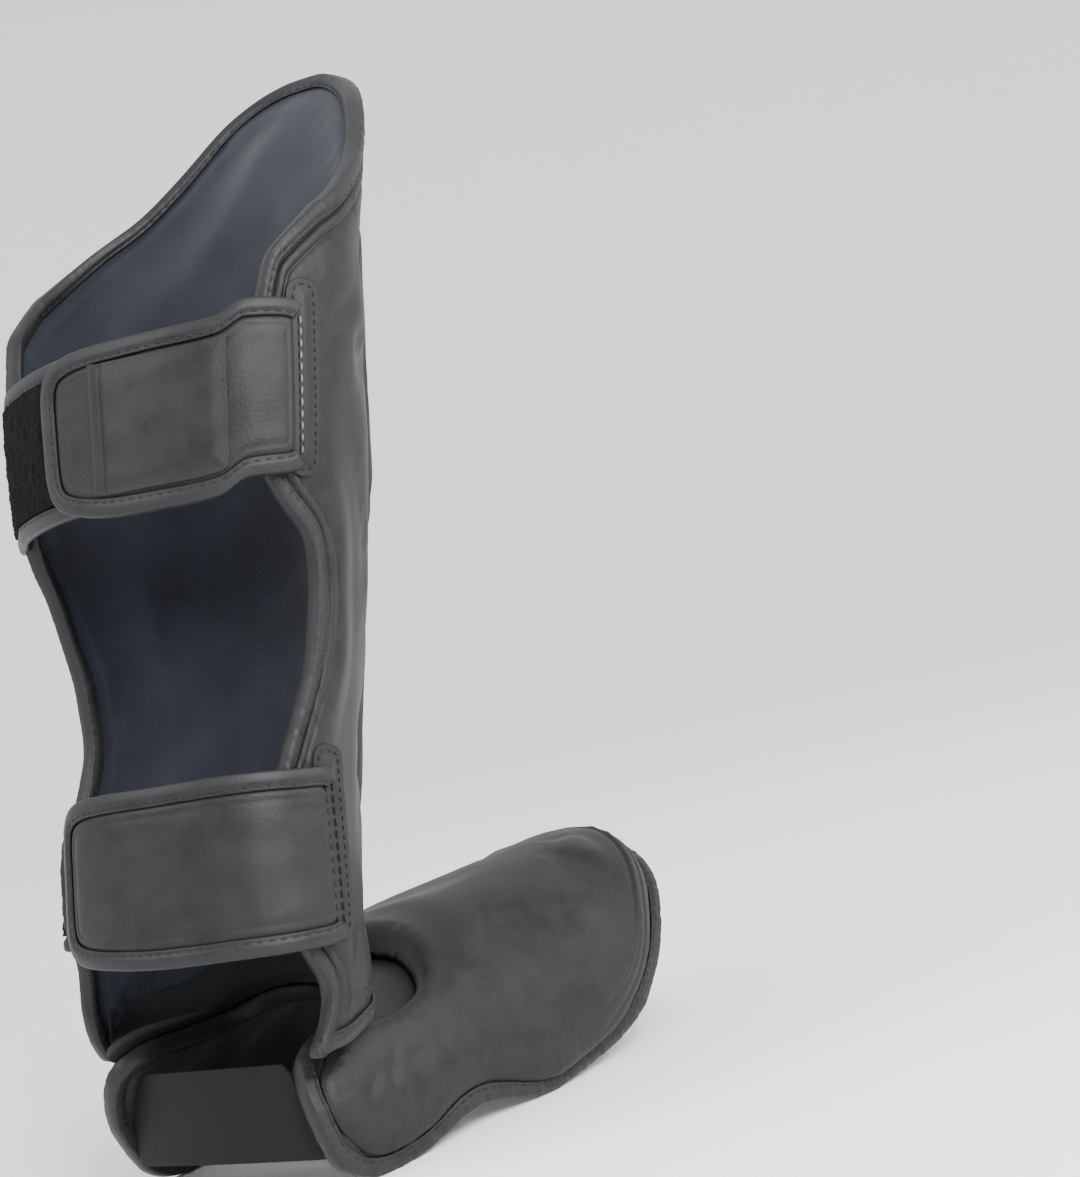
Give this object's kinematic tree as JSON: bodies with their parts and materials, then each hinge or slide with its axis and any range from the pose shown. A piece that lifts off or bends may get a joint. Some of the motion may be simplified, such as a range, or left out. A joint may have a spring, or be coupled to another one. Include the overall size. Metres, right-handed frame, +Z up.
{
  "type": "kickboxing shin guard",
  "caption": "Padded leather shin guard with instep pad, raised shin ridge, cloth lining, two closing straps and elastics under and behind the foot.",
  "frame": {"origin": "centre of the bounding box's bottom face, on the floor the guard stands on", "axes": "+Z up along the shin, -Y towards the toe, +X towards the wing that carries the loop tabs"},
  "size_m": [0.1662, 0.2756, 0.401],
  "materials": {
    "shin_cover": "matte charcoal grain",
    "shin_lining": "smooth dark blue-grey knit",
    "shin_binding": "matte charcoal, stitched",
    "ankle_gusset": "matte dark knit",
    "instep_base": "matte charcoal grain",
    "instep_lining": "smooth dark blue-grey knit",
    "instep_binding": "matte charcoal, stitched",
    "instep_pad": "matte charcoal grain",
    "heel_elastic": "matte ribbed elastic",
    "sole_elastic": "matte ribbed elastic",
    "upper_strap": "matte charcoal grain",
    "upper_strap_binding": "matte charcoal, stitched",
    "upper_strap_patch": "matte charcoal grain",
    "upper_strap_badge": "matte charcoal grain",
    "upper_tab": "matte charcoal grain",
    "upper_tab_binding": "matte charcoal, stitched",
    "upper_loop_panel": "black loop pile",
    "lower_strap": "matte charcoal grain",
    "lower_strap_binding": "matte charcoal, stitched",
    "lower_strap_patch": "matte charcoal grain",
    "lower_tab": "matte charcoal grain",
    "lower_tab_binding": "matte charcoal, stitched",
    "lower_loop_panel": "black loop pile"
  },
  "bodies": {
    "root": {"shin_cover": "shin_cover", "shin_lining": "shin_lining", "shin_binding": "shin_binding", "ankle_gusset": "ankle_gusset", "instep_base": "instep_base", "instep_lining": "instep_lining", "instep_binding": "instep_binding", "instep_pad": "instep_pad", "heel_elastic": "heel_elastic", "sole_elastic": "sole_elastic", "upper_strap": "upper_strap", "upper_strap_binding": "upper_strap_binding", "upper_strap_patch": "upper_strap_patch", "upper_strap_badge": "upper_strap_badge", "upper_tab": "upper_tab", "upper_tab_binding": "upper_tab_binding", "upper_loop_panel": "upper_loop_panel", "lower_strap": "lower_strap", "lower_strap_binding": "lower_strap_binding", "lower_strap_patch": "lower_strap_patch", "lower_tab": "lower_tab", "lower_tab_binding": "lower_tab_binding", "lower_loop_panel": "lower_loop_panel"}
  },
  "joints": []
}
